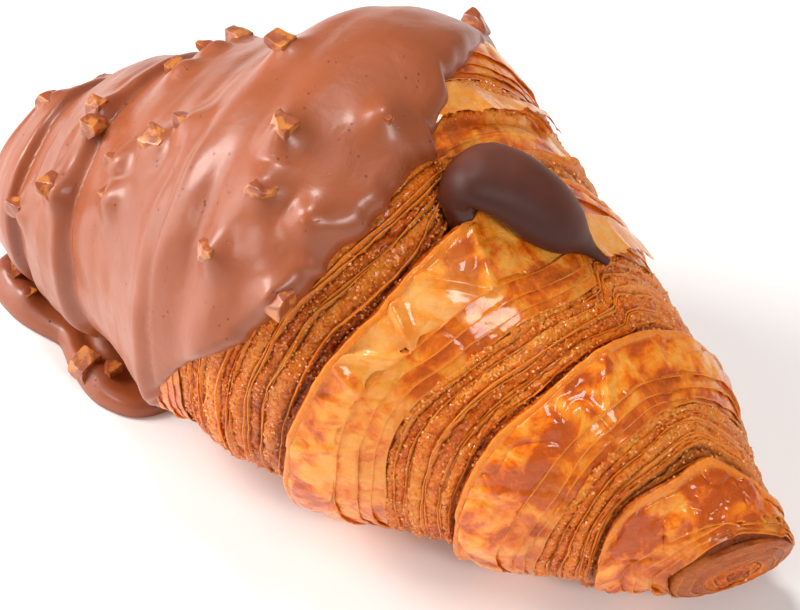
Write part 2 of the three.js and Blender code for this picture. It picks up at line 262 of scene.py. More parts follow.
# Across one rope of cut dough, and across one thin fin beside it: share, mm up, and for the fin its rim.
ROPE = (
    (0, -0.55), (0.05, -0.25), (0.13, 0.0), (0.27, 0.12),
    (0.5, 0.18), (0.73, 0.12), (0.88, -0.05), (0.97, -0.3),
)
FIN = ((0, -0.5, 0), (0.35, -0.1, 0.3), (0.65, 0.12, 0.7), (0.85, 0.18, 1.0), (0.95, 0.0, 0.7))
FIN_SHARE = 0.15

# How much the skin of each turn puckers, and how brown its top has baked.
PUCKER = {1: 2.3, 2: 1.4, 3: 1.0, 4: 1.0, 5: 1.0}
BROWNING = {1: 1.15, 2: 1.15, 3: 0.25, 4: 0.5, 5: 0.5}

# How a turn leaves the plain helix: degrees round the body, how far its start moves inwards in turns,
# and the share of the turn that is glazed skin.
TURN_SHAPE = {
    1: [
        (-180, 0, 0.36), (-99, 0.0, 0.4), (-60, 0.06, 0.54), (-19, -0.04, 0.52), (5, 0, 0.56),
        (28, -0.15, 0.48), (50, -0.27, 0.28), (90, -0.25, 0.3), (180, 0, 0.3),
    ],
    2: [
        (-180, 0, 0.3), (-106, 0.14, 0.25), (-86, 0.15, 0.33), (-60, 0.12, 0.37), (-28, 0.02, 0.33),
        (-9, 0, 0.33), (8, -0.03, 0.37), (31, -0.12, 0.34), (50, -0.2, 0.25), (180, 0, 0.4),
    ],
    3: [
        (-180, 0, 0.3), (-101, 0.09, 0.27), (-75, 0.05, 0.21), (-56, 0.01, 0.25), (-43, -0.03, 0.29),
        (-18, -0.03, 0.37), (-1, 0.0, 0.45), (9, 0.0, 0.42), (17, 0.0, 0.1), (60, -0.1, 0.1), (180, 0, 0.3),
    ],
    4: [(-180, 0, 0.05), (-60, 0, 0.05), (-20, 0, 0.25), (180, 0, 0.3)],
    5: [(-180, 0, 0.05), (180, 0, 0.05)],
}


def dough_section(turn):
    """The strip's outline: share of a turn, mm along, mm up, sheet number, skin, rim, crumb."""
    random = np.random.default_rng(turn)
    rows = []

    def add(share, along, up, sheet=0, skin=0.0, rim=0.0, crumb=0.0):
        rows.append((share, along, up, sheet, skin, rim, crumb))

    add(-0.10, 0, -ROOT_DEPTH)
    add(-0.06, 0, -4.2, crumb=0.5)
    for t in np.linspace(0, 1, 8):
        add(-0.045 + 0.06 * t, 0, -3.4 + 3.0 * t ** 0.8, crumb=0.3)
    for a in np.linspace(2.8, 0.5, 6):
        add(0.03, 0.5 * math.cos(a), -0.3 + 0.36 * math.sin(a), rim=0.9)
    for t in np.linspace(0, 1, 30):
        up = 0.3 * math.sin(math.pi * t) - 0.05
        add(0.05 + (SKIN_SHARE - 0.05) * t, 0, up, skin=1.0, rim=0.6 * (1 - ease(t / 0.06)))
    lips = [(SKIN_SHARE + SHEET_SPREAD[turn] * share, up) for share, up in SHEET_LIPS]
    for sheet, (share, up) in enumerate(lips, 1):
        add(share, 0.25, up - 0.02, sheet, 0.7, 1.0)
        add(share, 0.30, up - 0.10, sheet, 0.3, 1.0)
        add(share, 0.22, up - 0.20, sheet, 0.5, 0.6)
        add(share, -0.9, up - 0.38, sheet, 0.8)
        if sheet < len(lips):
            after, after_up = lips[sheet]
            add(share, -0.8, after_up + 0.04, sheet + 1, 0.5)
            for t in np.linspace(0.15, 1, 5):
                lift = 0.08 * math.sin(math.pi * t)
                add(share + (after - share) * t, -0.8 * (1 - t), after_up + lift, sheet + 1, 0.75)
    start = lips[-1][0]
    pairs = LAYER_PAIRS[turn]
    widths = random.uniform(0.6, 1.4, pairs)
    widths *= (1.0 - start) / max(widths.sum(), 1.0)
    for pair, pitch in enumerate(widths):
        sheet = 5 + 4 * pair
        drop = -1.25 - 0.3 * (pair == 0) - LAYER_DROP * (pair / pairs) ** 1.6
        drop += random.uniform(-0.6, 0.45) * (pair > 0)
        fins = random.choice([1, 2, 3], p=[0.35, 0.4, 0.25])
        rope = 1 - FIN_SHARE * fins
        for share, up in ROPE:
            add(start + share * pitch * rope, 0, drop + up, sheet, crumb=1.0)
        for fin in range(fins):
            base = start + pitch * (rope + FIN_SHARE * fin)
            proud = random.uniform(-0.15, 0.25)
            for share, up, rim in FIN:
                at = base + FIN_SHARE * pitch * share
                add(at, 0, drop + up + proud, sheet + 1 + fin, 0.3 * (rim > 0), rim, 0.1)
        start += pitch
    add(1.02, 0, -1.5 - LAYER_DROP - 1.4)
    add(1.05, 0, -ROOT_DEPTH)
    for share in (0.8, 0.5, 0.2):
        add(share, 0, -ROOT_DEPTH - 1.5)
    return [np.array(column) for column in zip(*rows)]


# Creases across the skin of a turn: degrees round the body, slant in degrees per turn of strip, depth.
CREASES = {
    1: [(14, 30, 0.2)],
    2: [(-75, 30, 0.2), (-12, -50, 0.3), (22, 60, 0.3)],
    3: [(-88, 20, 0.3), (-64, -25, 0.6), (-55, 30, 0.8), (-43, -30, 0.7), (-27, 35, 0.5), (-12, -30, 0.4)],
}
PALE_TURN, PALE_MIDDLE, PALE_HALF_WIDTH = 3, -46, 17  # a pale patch of skin: its turn, then degrees


def creased(turn, share, degrees):
    """How far the creases of a turn's skin stand up: sharp ridges, with a dip along one side."""
    fold = np.zeros(np.broadcast(share, degrees).shape)
    for at, slant, depth in CREASES.get(turn, []):
        away = degrees - at - slant * (share - 0.15)
        fold += depth * (1.5 * np.maximum(1 - np.abs(away) / 2.6, 0) - 0.6 * hump(away, 5, 3.5))
    return fold


# Where a big blister has broken open behind the filling: degrees, x of its torn edge, x of its far side.
BLISTER = [
    (-3, 13.0, 14.2), (1, 12.3, 15.4), (9, 13.3, 16.8), (21, 14.4, 18.8), (34, 16.0, 20.6),
    (47, 16.4, 20.8), (60, 17, 20.6),
]


def hollow(x, degrees):
    """1 inside the broken blister and 0 outside it."""
    torn, far = smooth_through(BLISTER, 1, degrees), smooth_through(BLISTER, 2, degrees)
    between = ease((x - torn + 1.5) / 0.8) * (1 - ease((x - far + 1.0) / 1.2))
    return between * ease((degrees + 3) / 4) * ease((66 - degrees) / 14)


def dough_strip(turn, name):
    """One turn of the dough as a closed strip, from the underside once round to the underside.

    Its marks, from 0 to 1, tell the finish what is where: skin is glazed crust, rim a thin edge, crumb
    frothy cut dough, depth how low a place lies between layers, where the finish paints shade, sheet a value
    of its own for each sheet, pale a bleached patch, toast the dark end, browned the baked top, and showing
    where loose crumbs may stand.
    """
    share, along, up, sheet, skin, rim, crumb = dough_section(turn)
    angle = np.linspace(-math.pi, math.pi, COLUMNS_PER_TURN[turn])[:, None]
    degrees = np.degrees(angle)
    inwards = smooth_through(TURN_SHAPE[turn], 1, degrees)
    inwards_next = smooth_through(TURN_SHAPE[max(turn - 1, 1)], 1, degrees)
    glazed = smooth_through(TURN_SHAPE[turn], 2, degrees)
    length = 1.0 + 0 * angle
    if turn == 1:
        length = np.maximum(turn - TIP_TURN - angle / (2 * math.pi), 0.16)
        glazed = np.minimum(glazed, 0.82 * length)
    placed = np.where(
        share < SKIN_SHARE, np.minimum(share, 0) + np.maximum(share, 0) * glazed / SKIN_SHARE,
        glazed + (share - SKIN_SHARE) * (length - glazed) / (1 - SKIN_SHARE),
    )
    top_turn = turn + inwards * (1 - placed / length) - placed - angle / (2 * math.pi)
    if turn > 1:
        top_turn = top_turn + inwards_next * placed
    turn_width = np.abs(x_of_turn(top_turn - 0.5) - x_of_turn(top_turn + 0.5))
    turn_width = np.maximum(turn_width, NARROWEST_TURN)
    x = np.clip(x_of_turn(np.maximum(top_turn, TIP_TURN)), DOUGH_FROM, BARE_END)
    base = on_body(x, angle, 0.0, NO_FLOOR)

    sheets = base + sheet[None, :, None] * SHEETS_APART
    thin = (sheet > 0) & (sheet < 5)
    layers = sheet > 4
    layered = ease((share - SKIN_SHARE + 0.02) / 0.1)
    wander = layered * (0.8 * grain(base, 23, 3) + 0.35 * grain(base, 8, 4) + 0.3 * grain(sheets, 11, 19))
    ragged = rim * (0.35 * grain(sheets, 8, 5) + (0.14 - 0.12 * thin) * grain(sheets, 1.9, 6))
    along = along + wander + ragged
    broken = hollow(x, degrees) * (turn == 4)
    lined = np.clip(6 * broken, 0, 1)
    coarse = 0.26 * grain(sheets, 1.1, 8) + 0.2 * grain(sheets, 0.55, 9) + 0.25 * grain(sheets, 4.5, 10)
    height = up + crumb * coarse * (1 - lined)
    along = along + crumb * 0.25 * grain(sheets, 0.9, 11)
    height = height + layers * (0.42 * grain(sheets, 9, 12) + 0.2 * grain(sheets, 3, 13))
    height = height + rim * thin * 0.6 * np.maximum(grain(sheets, 8, 20), 0)
    fine_wrinkles = 0.14 * grain(base, 2.6, 29) - 0.12 * (1 - np.abs(grain(base, 3, 30))) ** 5
    bumps = 0.45 * grain(base, 11, 14) + 0.25 * grain(base, 4, 15) + 0.1 * grain(base, 1.7, 27)
    blisters = skin * (bumps + fine_wrinkles * (turn < 3)) * PUCKER[turn]
    wrinkles = -0.35 * skin * (1 - np.abs(grain(base, 5, 16))) ** 7 * PUCKER[turn]
    height = height + blisters + wrinkles + (skin > 0.9) * creased(turn, placed, degrees)
    rolled = (rim > 0) * (sheet == 0)
    height = height + rolled * (0.35 * grain(base, 5, 17) + 0.15 * grain(base, 1.4, 18))
    height = height * (1 - broken) - 2.0 * broken
    if turn == 1:
        height = np.where(share > SKIN_SHARE - 0.01, np.maximum(height, -2.6), height)
        height = height - TIP_SINK * 0.35 * ease((share + 0.05) / 0.1)
        height = height + (0.3 + 0.45 * (1 - np.cos(angle))) * ease((share - SKIN_SHARE) / 0.25)
        height = np.where(height < -3, -3 + (height + 3) * 0.35, height)
    if turn == 4:
        along = along - 2.6 * hump(degrees, -9, 13) * ease((share - 0.8) / 0.2)
        height = height + layers * 0.7 * grain(sheets, 12, 24) * ease((x - 6) / 6)
        ropes = ease((degrees - 8) / 8) * ease((x - 18.8) / 2) * (1 - broken)
        height = height + ropes * layers * (0.6 + 1.5 * grain(sheets, 5, 26))

    along = along * (1 - broken)
    top_turn = top_turn - along / turn_width
    x = np.clip(x_of_turn(np.maximum(top_turn, TIP_TURN)), DOUGH_FROM, BARE_END)
    under_coat = ease((coat_edge(angle) - 1.0 - x) / 5)
    height = height - 2.6 * under_coat
    past_tip = ease((TIP_TURN - top_turn) / TIP_TURN)
    height = height - 4.0 * past_tip
    floor = smooth_through(BODY, LIFT, x) - 0.3 * height
    points = on_body(x, angle, height, floor)
    points[..., 0] -= 1.5 * past_tip

    rows, columns = points.shape[:2]
    whole = np.ones((rows, columns))
    bleached = hump(degrees - 30 * placed, PALE_MIDDLE, PALE_HALF_WIDTH) * (skin > 0.9) * (turn == PALE_TURN)
    marks = {
        "skin": np.maximum(skin * whole, lined),
        "rim": rim * (1 - lined),
        "crumb": crumb * (1 - lined),
        # depth: how low a place lies between layers, which the finish darkens as painted shade
        "depth": np.clip(-(up + 1.1 * layers) / 3.5, 0, 1) * (1 - lined),
        "sheet": (sheet * 0.37) % 1.0 * whole,
        "pale": np.maximum(bleached, 0.1 * lined),
        "toast": 0 * broken,
        "browned": whole * ease((np.cos(angle + 0.35) + 0.1) / 0.9) * BROWNING[turn],
        "showing": (height > -4.5) * (1 - under_coat) * (1 - past_tip) * (points[..., 2] > 2.5) * (1 - lined),
    }
    piece = make_mesh(name, points.reshape(-1, 3), tube_faces(rows, columns), marks)
    return tidy(piece)


def end_face():
    """The rolled end at the bare tip: sheets wound in a spiral on a low dome, frayed below."""
    rings, columns = 60, 220
    share = np.linspace(1, 0, rings)[:, None] ** 0.9
    angle = np.linspace(-math.pi, math.pi, columns, endpoint=False)[None, :]
    rim = on_body(np.full(angle.shape, BARE_END), angle, -2.4 + 0.35 * (1 - np.cos(angle)), NO_FLOOR)
    centre = rim.mean(axis=(0, 1)) + np.array([0, 0.6, -2.6])
    points = centre + (rim - centre) * share[..., None]
    wound = share * 5.0 + 0.12 * grain(points, 6, 23) - angle / (2 * math.pi)
    part = wound - np.floor(wound)
    core = 1 - ease((share - 0.45 - 0.06 * grain(points, 5, 25)) / 0.1)
    step = 0.4 * ease(part / 0.15) * (1 - 0.8 * part) - 0.2
    froth = grain(points, 1.1, 21) + 0.6 * grain(points, 0.6, 28)
    rough = (0.12 + 0.22 * core) * froth + 0.3 * grain(points, 5, 22)
    bulge = 1.2 * (1 - share ** 2) + (step + rough - 0.8 * core) * ease((1.02 - share) / 0.08)
    points[..., 0] += 0.2 + bulge
    marks = {
        "skin": 0.7 * (1 - core),
        "rim": 0.8 * hump(part, 0.12, 0.06) * (share < 0.97),
        "crumb": 0.15 + 0.85 * core + 0 * part,
        # depth: the gaps of the spiral and its core, which the finish darkens as painted shade
        "depth": 0.75 * (hump(part, 0.0, 0.06) + hump(part, 1.0, 0.06)) + 0.25 * core,
        "sheet": np.floor(wound) * 0.37 % 1.0,
        "pale": 0 * part,
        "browned": 1 + 0 * part,
        "toast": 1 - core,
    }
    back = rim[0] + np.array([-2.0, 0, 0])
    rows = np.concatenate([back[None], points], axis=0)
    marks = {mark: np.concatenate([values[:1], values]) for mark, values in marks.items()}
    piece = make_mesh("end_face", rows.reshape(-1, 3), tube_faces(rings + 1, columns), marks)
    return tidy(piece)


# Loose papery flakes: degrees, x of the fixed edge, x of the torn edge, mm up along each; then how pale.
FLAKES = {
    "torn_blister": ([
        (-2, 10.5, 12.2, -0.5, -0.3), (6, 8.5, 12.9, 0.1, 0.9), (13, 7.6, 13.6, 0.1, 1.1),
        (23, 10.5, 14.8, 0.2, 1.2), (33, 13.5, 16.2, 0.2, 1.0), (46, 14.0, 16.6, 0.1, 0.2),
        (58, 14.6, 16.6, -0.4, -0.4),
    ], 0.7),
    "flake_by_filling": ([
        (12, 34.2, 36.6, 0.4, 0.5), (24, 31.6, 37.4, 0.5, 0.7), (40, 33.0, 38.4, 0.5, 0.8),
        (54, 34.4, 38.4, 0.4, 0.7),
    ], 0.9),
}
FLAKE_THICKNESS = 0.22


def flake(name, spec):
    """A thin sheet of crust lying along the body, with a torn free edge that lifts off it."""
    table, pale = spec
    rows, columns = 170, 40
    u = np.linspace(0, 1, rows)[:, None]
    v = np.linspace(0, 1, columns)[None, :]
    degrees = table[0][0] + (table[-1][0] - table[0][0]) * u
    angle = np.radians(degrees) + 0 * v
    side = np.stack([60 * angle[:, :1], 0 * u, 0 * u], axis=-1)
    torn = 0.8 * grain(side, 5, 71) + 0.5 * grain(side, 1.8, 72) + 0.3 * grain(side, 0.7, 73)
    near, far = smooth_through(table, 1, degrees), smooth_through(table, 2, degrees)
    up, up_far = smooth_through(table, 3, degrees), smooth_through(table, 4, degrees)
    reach = far - near + torn
    reach = reach * np.minimum(ease(u / 0.10) + 0.12, 1) * np.minimum(ease((1 - u) / 0.08) + 0.12, 1)
    x = near + reach * v
    base = on_body(x, angle, 0.0, NO_FLOOR)
    lift = up + (up_far - up) * v ** 1.6 + 0.5 * v * grain(base, 7, 74) + 0.25 * grain(base, 3, 75)
    lift = lift + 0.4 * v * ease((1 - u) / 0.3) * np.maximum(1 - np.abs(((angle * 9) % 2.0) - 1) * 2.2, 0)
    top = on_body(x, angle, lift, NO_FLOOR)
    under = on_body(x, angle, lift - FLAKE_THICKNESS * (1.15 - v), NO_FLOOR)
    ring = np.concatenate([top, under[:, ::-1]], axis=1)
    columns = ring.shape[1]
    edge = np.concatenate([v, v[:, ::-1]], axis=1) + 0 * ring[..., 0]
    marks = {
        "skin": 1 + 0 * edge, "rim": 0.8 * ease((edge - 0.9) / 0.1), "crumb": 0 * edge, "depth": 0 * edge,
        "sheet": 0.3 + 0 * edge, "pale": pale + 0 * edge, "toast": 0 * edge,
        "browned": 0.5 + 0 * edge,
    }
    return tidy(make_mesh(name, ring.reshape(-1, 3), tube_faces(rows, columns), marks))


# ---- The milk chocolate -----------------------------------------------------------------------

def dipped_turns(x, angle):
    """How many turns in from the dipped end a place lies."""
    crossings = [(turn, -x_top) for turn, x_top in DIPPED_TURNS]
    return smooth_through(crossings, 0, np.minimum(x, 0), key=1) + angle / (2 * math.pi)


def coat_relief(x, angle):
    """How the rolled turns show through the coat, and the folds left as it ran and set."""
    turns = dipped_turns(x, angle)
    share = 1 - (turns - np.floor(turns))
    fade = ease(np.abs(np.minimum(x, 0)) / 16)
    groove = -2.3 * (1 - ease(share / 0.16)) - 1.9 * share ** 2.2
    along_turn = np.stack([turns * 9, angle * 1.1 + 0 * x, 0 * turns], axis=-1)
    folds = 0.5 * grain(along_turn, 1.9, 31) + 0.16 * grain(along_turn, 0.8, 32)
    body = on_body(x, angle, 0.0, NO_FLOOR)
    sag = 0.6 * grain(body, 15, 33) + 0.35 * grain(body, 6, 34)
    from_ridge = (turns - 3) * 26 + 2 * grain(body, 12, 36)
    near_side = hump(np.degrees(angle), -50, 62)
    ridge = 1.3 * hump(from_ridge, 0, 3.2) - 1.5 * hump(from_ridge, 7.5, 3.6) + 0.7 * hump(from_ridge, 15, 4)
    return fade * groove + (0.35 + 0.65 * fade) * folds + sag + near_side * ridge


def nut_centre(node):
    """The middle of a nut's solid, in the baker's frame."""
    low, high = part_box(node)
    return (np.array(low) + np.array(high)) / 2 / MM - PLACE


nut_nodes = sorted(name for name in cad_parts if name.startswith("nut_piece"))
nut_centres = {node: nut_centre(node) for node in nut_nodes}
PUDDLE_NUTS_BELOW = 7


def milk_chocolate_coat():
    rows, columns = 185, 440
    share = np.linspace(0, 1, rows)[:, None]
    angle = np.linspace(-math.pi, math.pi, columns, endpoint=False)[None, :]
    edge = coat_edge(angle)
    x = DIPPED_END + (edge - DIPPED_END) * share
    to_edge = (edge - x) * 0.8
    rounding = np.sqrt(np.clip(1 - (1 - np.clip(to_edge / 2.0, 0, 1)) ** 2, 0, 1))
    relief = coat_relief(x, angle)
    out = (COAT - 0.4 + relief) * rounding - 0.6 * (1 - rounding)
    shell = on_body(x, angle, out, 0.0)
    mound = np.zeros(out.shape)
    for node, centre in nut_centres.items():
        if centre[2] > PUDDLE_NUTS_BELOW:
            away = np.linalg.norm(shell - centre, axis=-1)
            mound = np.maximum(mound, 2.4 * np.exp(-((away / 3.3) ** 2)))
    shell = on_body(x, angle, out + mound * rounding, 0.0)

    first = shell[0]
    middle = first.mean(axis=0)
    cap = []
    outwards = np.array([-1, 0, 0])
    for part in np.linspace(0.03, 0.97, 26):
        across, ahead = math.sin(part * math.pi / 2), math.cos(part * math.pi / 2)
        ring = middle + (first - middle) * across + outwards * (END_BULGE + COAT - 0.3) * ahead
        cap.append(ring + 0.35 * grain(ring, 9, 35)[:, None] * outwards * ahead)
    inside = []
    for back in (0.6, 3.0, 8.0):
        inside.append(on_body(edge[0] - back, angle[0], -1.6, 1.2))
    inner_end = on_body(np.full(columns, DIPPED_END + 1.0), angle[0], -2.0, 3.0)
    points = np.concatenate([np.array(cap), shell, np.array(inside), inner_end[None]], axis=0)
    piece = make_mesh("coat", points.reshape(-1, 3), tube_faces(len(points), columns))
    return tidy(piece)


PUDDLE_CENTRE = np.array([-52.0, -1.0])
PUDDLE_OUTLINE = [  # degrees round its centre, reach
    (-180, 25.5), (-163, 27), (-148, 23), (-132, 27), (-112, 25.5), (-86, 23.5), (-72, 28),
    (-58, 34), (-48, 36), (-36, 34), (-18, 26), (10, 22), (40, 27), (62, 26), (90, 23),
    (118, 25), (140, 22), (160, 24), (180, 25.5),
]
PUDDLE_DEPTH = 3.5


def milk_chocolate_puddle():
    rings, columns = 90, 420
    angle = np.linspace(-math.pi, math.pi, columns, endpoint=False)[None, :]
    reach = smooth_through(PUDDLE_OUTLINE, 1, np.degrees(angle))
    inset = np.concatenate([np.linspace(0, 4, 40), np.linspace(4.4, 19, 50)])[:, None]
    depth = PUDDLE_DEPTH * np.clip(1 - (1 - np.clip(inset / 3.2, 0, 1)) ** 2.4, 0, 1) ** 0.5
    radius = reach - inset
    x = PUDDLE_CENTRE[0] + radius * np.cos(angle)
    y = PUDDLE_CENTRE[1] + radius * np.sin(angle)
    flat = np.stack([x, y, 0 * x], axis=-1)
    swell = ease(inset / 3) * (0.5 * grain(flat, 9, 51) + 0.25 * grain(flat, 3.5, 52) - 0.3)
    ledge = -0.9 * hump(inset, 6.5, 2.2)
    z = np.maximum(depth + swell + ledge * ease(inset / 3), 0.0)
    for node, centre in nut_centres.items():
        if centre[2] < PUDDLE_NUTS_BELOW:
            away = np.hypot(x - centre[0], y - centre[1])
            z = z + 1.5 * np.exp(-((away / 3.0) ** 2)) * ease(inset / 2)
    top = np.stack([x, y, z], axis=-1)
    base = np.stack([x[0], y[0], 0 * x[0]], axis=-1)
    centre = np.array([PUDDLE_CENTRE[0], PUDDLE_CENTRE[1], 0])
    under = centre + (base - centre) * 0.98
    points = np.concatenate([under[None], top], axis=0)
    piece = make_mesh("puddle", points.reshape(-1, 3), tube_faces(len(points), columns))
    return tidy(piece)


# ---- The nuts ---------------------------------------------------------------------------------

def chopped_nut(node, number):
    """A shard cut by flat faces, its corners softened by the chocolate over it."""
    low, high = (np.array(corner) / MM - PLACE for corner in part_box(node))
    centre, size = (low + high) / 2, (high - low)
    random = np.random.default_rng(100 + number)
    bm = bmesh.new()
    bmesh.ops.create_cube(bm, size=1.0)
    for _ in range(4):
        normal = Vector(random.normal(size=3)).normalized()
        cut = bmesh.ops.bisect_plane(
            bm, geom=bm.verts[:] + bm.edges[:] + bm.faces[:], plane_co=normal * random.uniform(0.36, 0.5),
            plane_no=normal, clear_outer=True,
        )
        rim = [item for item in cut["geom_cut"] if isinstance(item, bmesh.types.BMEdge)]
        bmesh.ops.contextual_create(bm, geom=rim)
    corner = bm.verts.layers.float.new("corner")
    bevel = bmesh.ops.bevel(
        bm, geom=bm.edges[:], offset=0.1, segments=2, profile=0.6, affect="EDGES", clamp_overlap=True
    )
    for vert in bevel["verts"]:
        vert[corner] = 1.0
    bmesh.ops.poke(bm, faces=[face for face in bm.faces if face.calc_area() > 0.02])
    bmesh.ops.triangulate(bm, faces=bm.faces[:])
    bmesh.ops.subdivide_edges(bm, edges=bm.edges[:], cuts=2, use_grid_fill=True)
    for _ in range(8):
        bmesh.ops.smooth_vert(
            bm, verts=bm.verts[:], factor=0.5, use_axis_x=True, use_axis_y=True, use_axis_z=True
        )
    points = np.array([vert.co[:] for vert in bm.verts])
    marks = {"corner": [vert[corner] for vert in bm.verts]}
    most, least = points.max(0), points.min(0)
    points = (points - (most + least) / 2) / (most - least) * size * 0.98 + centre
    points += 0.12 * grain(points, 1.1, number)[:, None]
    faces = [[vert.index for vert in face.verts] for face in bm.faces]
    bm.free()
    return tidy(make_mesh(node + "_shard", points, faces, marks))


# ---- The dark filling -------------------------------------------------------------------------

# Its middle line from inside the slit to the end of the drip: x, y, z, half width, half thickness.
FILLING = [
    (20.8, -1.4, 53, 4.4, 2.4),
    (20.2, -1.8, 59.5, 5.4, 3.0),
    (20.1, -1.5, 64.4, 6.0, 3.3),
    (22.0, -0.8, 67.4, 6.0, 3.5),
    (25.2, 1.3, 65.9, 6.0, 4.1),
    (29.2, 3.9, 61.9, 5.8, 4.3),
    (32.6, 6.2, 57.9, 4.6, 3.6),
    (34.8, 7.8, 55, 2.2, 2.0),
    (36.4, 8.8, 53.2, 1.0, 1.0),
    (38.6, 9.8, 51.4, 0.6, 0.6),
]
FILLING_SIDE = np.array([-0.35, 1.0, 0.0])


def dark_filling():
    rings, columns = 150, 90
    table = [(i,) + row for i, row in enumerate(FILLING)]
    at = np.linspace(0, len(FILLING) - 1, rings)
    line = np.stack([smooth_through(table, k, at) for k in (1, 2, 3)], axis=-1)
    across = smooth_through(table, 4, at)[:, None]
    thick = smooth_through(table, 5, at)[:, None]
    ahead = np.gradient(line, axis=0)
    ahead /= np.linalg.norm(ahead, axis=1, keepdims=True)
    side = FILLING_SIDE - ahead * (ahead @ FILLING_SIDE)[:, None]
    side /= np.linalg.norm(side, axis=1, keepdims=True)
    out = np.cross(side, ahead)
    angle = np.linspace(-math.pi, math.pi, columns, endpoint=False)[None, :]
    points = (
        line[:, None]
        + side[:, None] * (across * np.sin(angle))[..., None]
        + out[:, None] * (thick * np.cos(angle))[..., None]
    )
    at = at[:, None]
    swell = 0.3 * grain(points, 7, 61) * ease((9 - at) / 3)
    lobes = 0.9 * grain(points, 2.5, 62) * ease((3.5 - at) / 2)
    points = points + out[:, None] * (swell + lobes)[..., None]
    # Marks for the finish: the start of the filling, down in the slit, is glossier and painted darker as
    # shade, and its -Y side is painted darker as shade.
    marks = {
        "wet": ease((2.6 - at) / 1.2) + 0 * angle,
        "dark": ease((0.15 - np.sin(angle)) / 1.1) + 0 * at,
    }
    return tidy(make_mesh("filling", points.reshape(-1, 3), tube_faces(rings, columns), marks))


# ---- Crumbs -----------------------------------------------------------------------------------

CRUMBS_PER_SQUARE_METRE = 1.8e6
LEAST_CRUMB, MOST_CRUMB = 0.2, 0.58  # shares of the shard's millimetre


def crumb_shard():
    """One crumb: a dented bead a millimetre across, with twenty faces."""
    bm = bmesh.new()
    bmesh.ops.create_icosphere(bm, subdivisions=1, radius=0.5 * MM)
    for vert in bm.verts:
        vert.co *= 1 + 0.3 * math.sin(7 * vert.co.x / MM + 5 * vert.co.y / MM + 3 * vert.co.z / MM)
    mesh = bpy.data.meshes.new("crumb_shard")
    bm.to_mesh(mesh)
    bm.free()
    shard = bpy.data.objects.new("crumb_shard", mesh)
    bpy.context.scene.collection.objects.link(shard)
    return shard


def new_node(tree, kind, **settings):
    node = tree.nodes.new(kind)
    for key, value in settings.items():
        setattr(node, key, value)
    return node


def scatter_tree():
    """Sets small shards on a surface where its crumb and showing marks are high, and makes them real."""
    tree = bpy.data.node_groups.new("scatter_crumbs", "GeometryNodeTree")
    face = tree.interface
    face.new_socket("Geometry", in_out="INPUT", socket_type="NodeSocketGeometry")
    for name, kind in (
        ("Shard", "NodeSocketObject"), ("Density", "NodeSocketFloat"), ("Least size", "NodeSocketFloat"),
        ("Most size", "NodeSocketFloat"), ("Seed", "NodeSocketInt"), ("Finish", "NodeSocketMaterial"),
    ):
        face.new_socket(name, in_out="INPUT", socket_type=kind)
    face.new_socket("Geometry", in_out="OUTPUT", socket_type="NodeSocketGeometry")

    def add(kind, **settings):
        return new_node(tree, kind, **settings)

    def join(giver, output, taker, entry):
        tree.links.new(giver.outputs[output], taker.inputs[entry])

    given, made = add("NodeGroupInput"), add("NodeGroupOutput")
    crumb = add("GeometryNodeInputNamedAttribute", data_type="FLOAT")
    crumb.inputs["Name"].default_value = "crumb"
    showing = add("GeometryNodeInputNamedAttribute", data_type="FLOAT")
    showing.inputs["Name"].default_value = "showing"
    patch = add("ShaderNodeTexNoise")
    patch.inputs["Scale"].default_value = 1 / (6 * MM)
    patchy = add("ShaderNodeMapRange")
    for name, value in (("From Min", 0.42), ("From Max", 0.62), ("To Min", 0.15), ("To Max", 1.0)):
        patchy.inputs[name].default_value = value
    share = add("ShaderNodeMath", operation="MULTIPLY")
    kept = add("ShaderNodeMath", operation="MULTIPLY")
    density = add("ShaderNodeMath", operation="MULTIPLY")
    spots = add("GeometryNodeDistributePointsOnFaces", distribute_method="RANDOM")
    size = add("FunctionNodeRandomValue", data_type="FLOAT")
    turned = add("FunctionNodeRandomValue", data_type="FLOAT_VECTOR")
    turned.inputs[1].default_value = (6.28, 6.28, 6.28)
    source = add("GeometryNodeObjectInfo", transform_space="ORIGINAL")
    placed = add("GeometryNodeInstanceOnPoints")
    real = add("GeometryNodeRealizeInstances")
    finished = add("GeometryNodeSetMaterial")
    join(patch, "Fac", patchy, "Value")
    join(crumb, "Attribute", share, 0)
    join(showing, "Attribute", share, 1)
    join(share, 0, kept, 0)
    join(patchy, "Result", kept, 1)
    join(kept, 0, density, 0)
    join(given, "Density", density, 1)
    join(given, "Geometry", spots, "Mesh")
    join(density, 0, spots, "Density")
    join(given, "Seed", spots, "Seed")
    join(given, "Least size", size, 2)
    join(given, "Most size", size, 3)
    join(given, "Seed", size, "Seed")
    join(given, "Seed", turned, "Seed")
    join(given, "Shard", source, "Object")
    join(spots, "Points", placed, "Points")
    join(source, "Geometry", placed, "Instance")
    join(turned, 0, placed, "Rotation")
    join(size, 1, placed, "Scale")
    join(placed, "Instances", real, "Geometry")
    join(real, "Geometry", finished, "Geometry")
    join(given, "Finish", finished, "Material")
    join(finished, "Geometry", made, "Geometry")
    return tree


def crumbs_on(carrier, shard, tree, seed, finish):
    """The crumbs that stand on one strip's cut edge, as a mesh of their own."""
    holder = bpy.data.objects.new(carrier.name + "_crumbs", carrier.data)
    bpy.context.scene.collection.objects.link(holder)
    modifier = holder.modifiers.new("scatter", "NODES")
    modifier.node_group = tree
    sockets = {item.name: item.identifier for item in tree.interface.items_tree if item.in_out == "INPUT"}
    for name, value in (
        ("Shard", shard), ("Density", CRUMBS_PER_SQUARE_METRE), ("Least size", LEAST_CRUMB),
        ("Most size", MOST_CRUMB), ("Seed", seed), ("Finish", finish),
    ):
        modifier[sockets[name]] = value
    seen = holder.evaluated_get(bpy.context.evaluated_depsgraph_get())
    mesh = bpy.data.meshes.new_from_object(seen)
    holder.modifiers.clear()
    holder.data = mesh
    return holder


# ---- Finishes ---------------------------------------------------------------------------------

